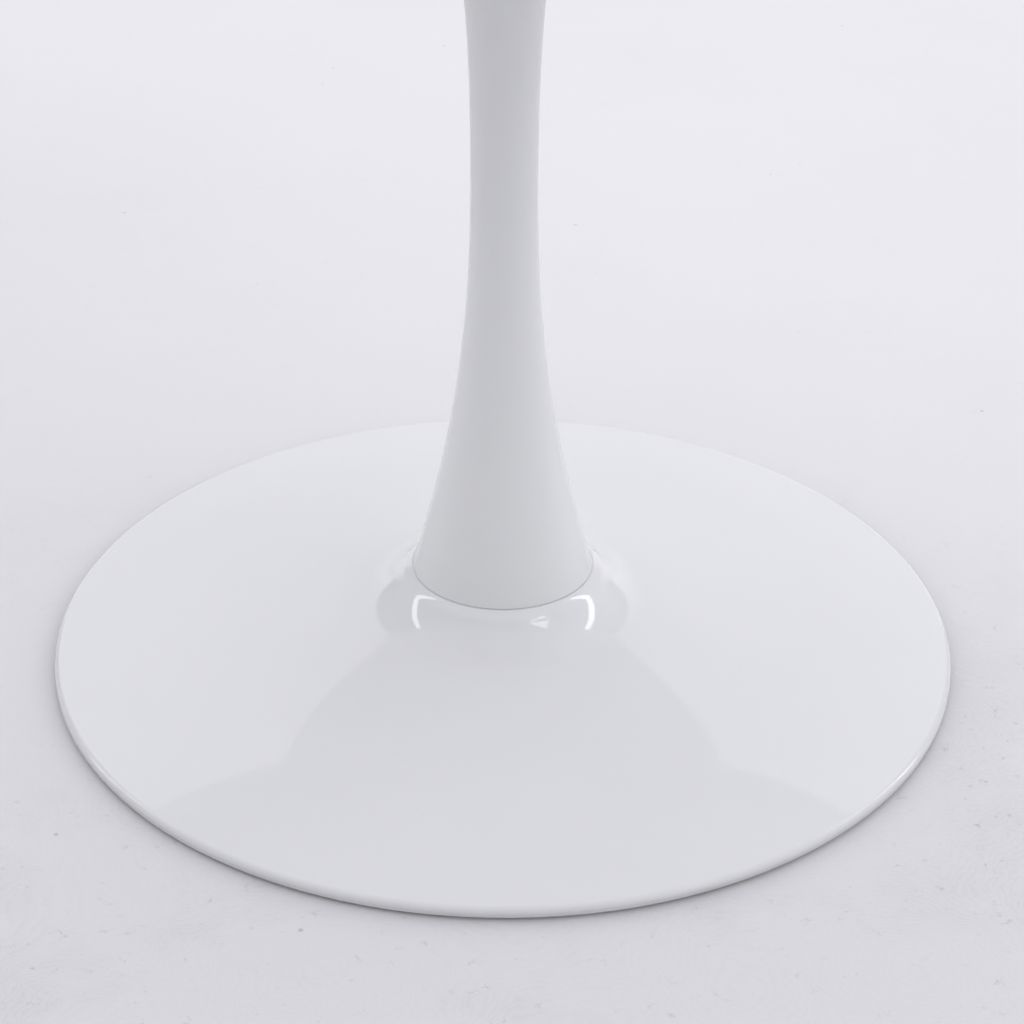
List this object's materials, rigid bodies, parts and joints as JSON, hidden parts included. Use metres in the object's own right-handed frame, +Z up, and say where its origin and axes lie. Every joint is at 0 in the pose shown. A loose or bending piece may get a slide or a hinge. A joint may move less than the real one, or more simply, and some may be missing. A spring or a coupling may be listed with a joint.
{
  "type": "pedestal table",
  "caption": "Round pedestal table: white board with a bevelled edge on a trumpet-shaped steel column that stands on the collar of a low, gloss white spun dish.",
  "frame": {"origin": "on the floor, on the table's axis", "axes": "+Z up along the column's axis; the picture looks along +Y, so +X is to its right"},
  "size_m": [1.3999, 1.4, 0.74],
  "materials": {
    "gloss_white_enamel": "high gloss enamel on spun steel",
    "satin_white": "satin powder coat on steel tube",
    "white_lacquer": "satin white lacquer on fibreboard",
    "black_coat": "matt black powder coat on steel",
    "zinc_plate": "bright zinc plating",
    "gasket_rubber": "grey rubber sheet",
    "edge_strip_white": "soft white plastic",
    "pad_rubber": "dark rubber"
  },
  "bodies": {
    "root": {"table_top": "white_lacquer", "board_inserts": "zinc_plate", "spider_bolts": "zinc_plate", "top_spider": "black_coat", "spider_boss": "zinc_plate", "rod_lock_nut": "zinc_plate", "tie_rod": "zinc_plate", "column": "satin_white", "column_head_plate": "black_coat", "column_foot_plate": "black_coat", "foot_gasket": "gasket_rubber", "base_shell": "gloss_white_enamel", "rim_edge_strip": "edge_strip_white", "clamp_plate": "black_coat", "hub_tube": "black_coat", "ballast_plate": "black_coat", "clamp_washer": "zinc_plate", "spring_washer": "zinc_plate", "clamp_nut": "zinc_plate", "floor_pads": "pad_rubber"}
  },
  "joints": []
}
